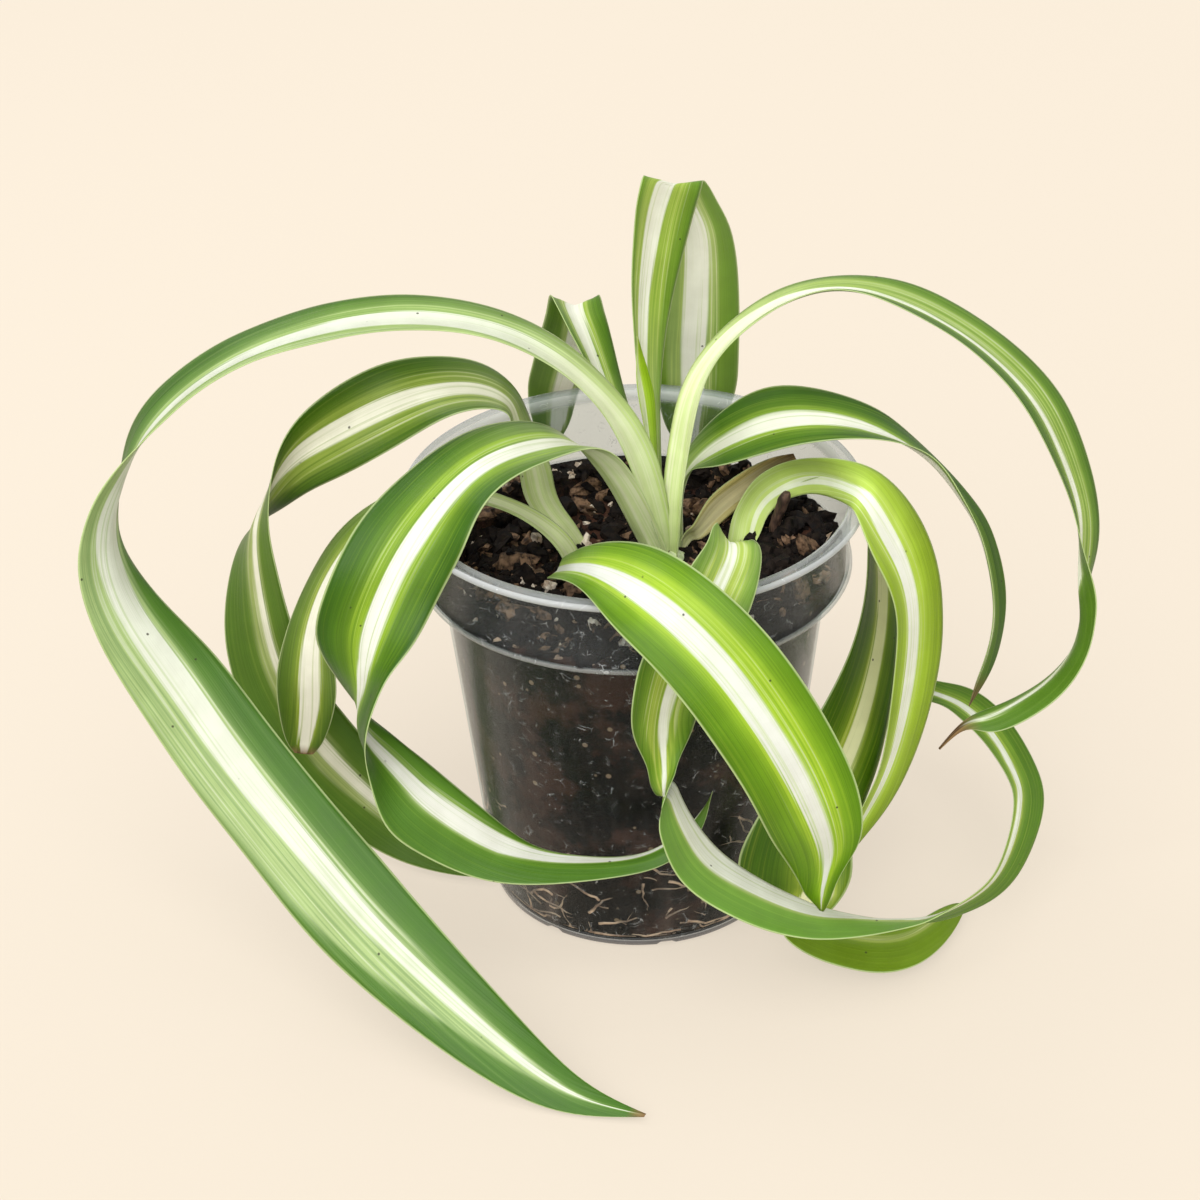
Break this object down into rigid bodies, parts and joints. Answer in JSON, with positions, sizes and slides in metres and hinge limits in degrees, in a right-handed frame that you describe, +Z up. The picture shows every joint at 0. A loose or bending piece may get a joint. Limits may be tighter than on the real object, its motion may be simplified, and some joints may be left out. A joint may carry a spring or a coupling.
{
  "type": "potted plant",
  "caption": "Spider plant with arching, curling striped strap leaves in a thin clear nursery pot of dark soil.",
  "frame": {"origin": "middle of the pot's flat base, on the surface that the plant stands on", "axes": "+Z up, -Y towards the viewer, +X to the right in the picture"},
  "size_m": [0.2578, 0.1769, 0.1941],
  "materials": {
    "leaf_green": "fresh leaf, satin: green margins with a pale stripe down the middle",
    "leaf_base_pale": "fresh pale leaf bases, satin",
    "leaf_dry": "withered dry leaf, matt",
    "pot_plastic": "thin clear plastic, scuffed and hazy",
    "potting_soil": "damp crumbly potting soil, matt",
    "dry_twig": "dry bark, matt"
  },
  "bodies": {
    "root": {"leaf_long_left": "leaf_green", "leaf_left_upper": "leaf_green", "leaf_left_low": "leaf_green", "leaf_left_front": "leaf_green", "leaf_front": "leaf_green", "leaf_front_loop": "leaf_green", "leaf_right_front": "leaf_green", "leaf_right_behind": "leaf_green", "leaf_right_arc": "leaf_green", "leaf_right_dark": "leaf_green", "leaf_centre_tall": "leaf_green", "leaf_centre_small": "leaf_green", "leaf_spear": "leaf_green", "leaf_withered": "leaf_dry", "crown": "leaf_base_pale", "pot_shell": "pot_plastic", "soil": "potting_soil", "twig": "dry_twig"}
  },
  "joints": []
}
